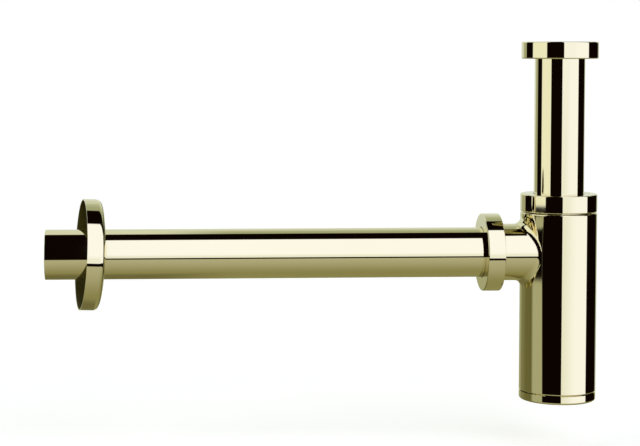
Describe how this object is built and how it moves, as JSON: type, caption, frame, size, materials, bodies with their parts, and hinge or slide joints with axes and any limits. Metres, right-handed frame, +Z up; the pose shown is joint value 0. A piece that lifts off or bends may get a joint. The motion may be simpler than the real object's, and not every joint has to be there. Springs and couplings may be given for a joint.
{
  "type": "sink trap",
  "caption": "Brass bottle trap for a basin: screwed inlet nut, adjustable dip tube, round cup with a base cap, horizontal outlet tube and a sliding wall flange.",
  "frame": {"origin": "on the axis of the top nut, where its thread begins", "axes": "+Z up out of the nut towards the basin; the outlet tube runs along -X to the wall"},
  "size_m": [0.3558, 0.0715, 0.2317],
  "materials": {
    "polished_brass": "polished pale gold",
    "black_rubber": "moulded matt",
    "white_nylon": "moulded"
  },
  "bodies": {
    "top": {"top_nut": "polished_brass"},
    "inlet": {"inlet_tube": "polished_brass", "waste_washer": "black_rubber"},
    "bottle": {"bottle_body": "polished_brass", "collar_cone_seal": "black_rubber", "outlet_cone_seal": "black_rubber"},
    "collar_slip": {"collar_slip_ring": "white_nylon"},
    "collar": {"collar_nut": "polished_brass"},
    "outlet_slip": {"outlet_slip_ring": "white_nylon"},
    "outlet_lock": {"outlet_nut": "polished_brass"},
    "base_seal": {"base_o_ring": "black_rubber"},
    "base": {"base_cap": "polished_brass"},
    "outlet": {"outlet_tube": "polished_brass"},
    "rosette": {"wall_flange": "polished_brass"}
  },
  "joints": [
    {"name": "inlet_swivel", "type": "hinge", "parent": "top", "child": "inlet", "pos_m": [0, 0, -0.00825], "axis": [0, 0, 1], "continuous": true},
    {"name": "height_slide", "type": "slide", "parent": "inlet", "child": "bottle", "axis": [0, 0, 1], "range_m": [-0.03, 0.015]},
    {"name": "collar_ring_slide", "type": "slide", "parent": "bottle", "child": "collar_slip", "axis": [0, 0, 1], "range_m": [0, 0.012]},
    {"name": "collar_nut_turn", "type": "hinge", "parent": "collar_slip", "child": "collar", "pos_m": [0, 0, -0.0991], "axis": [0, 0, 1], "range_deg": [0, 1871.5]},
    {"name": "outlet_ring_slide", "type": "slide", "parent": "bottle", "child": "outlet_slip", "axis": [-1, 0, 0], "range_m": [0, 0.012]},
    {"name": "outlet_nut_turn", "type": "hinge", "parent": "outlet_slip", "child": "outlet_lock", "pos_m": [-0.0486, 0, -0.1351], "axis": [-1, 0, 0], "range_deg": [0, 1871.5]},
    {"name": "base_ring_slide", "type": "slide", "parent": "bottle", "child": "base_seal", "axis": [0, 0, -1], "range_m": [0, 0.014]},
    {"name": "base_cap_turn", "type": "hinge", "parent": "base_seal", "child": "base", "pos_m": [0, 0, -0.2255], "axis": [0, 0, -1], "range_deg": [0, 3360.5]},
    {"name": "outlet_depth_slide", "type": "slide", "parent": "bottle", "child": "outlet", "axis": [-1, 0, 0], "range_m": [-0.006, 0.008]},
    {"name": "flange_slide", "type": "slide", "parent": "outlet", "child": "rosette", "axis": [1, 0, 0], "range_m": [-0.015, 0.2]}
  ],
  "couplings": [
    {"joint": "collar_nut_turn", "follows": "collar_ring_slide", "rad_per_m": 2721.2},
    {"joint": "outlet_nut_turn", "follows": "outlet_ring_slide", "rad_per_m": 2721.2},
    {"joint": "base_cap_turn", "follows": "base_ring_slide", "rad_per_m": 4188.8}
  ]
}
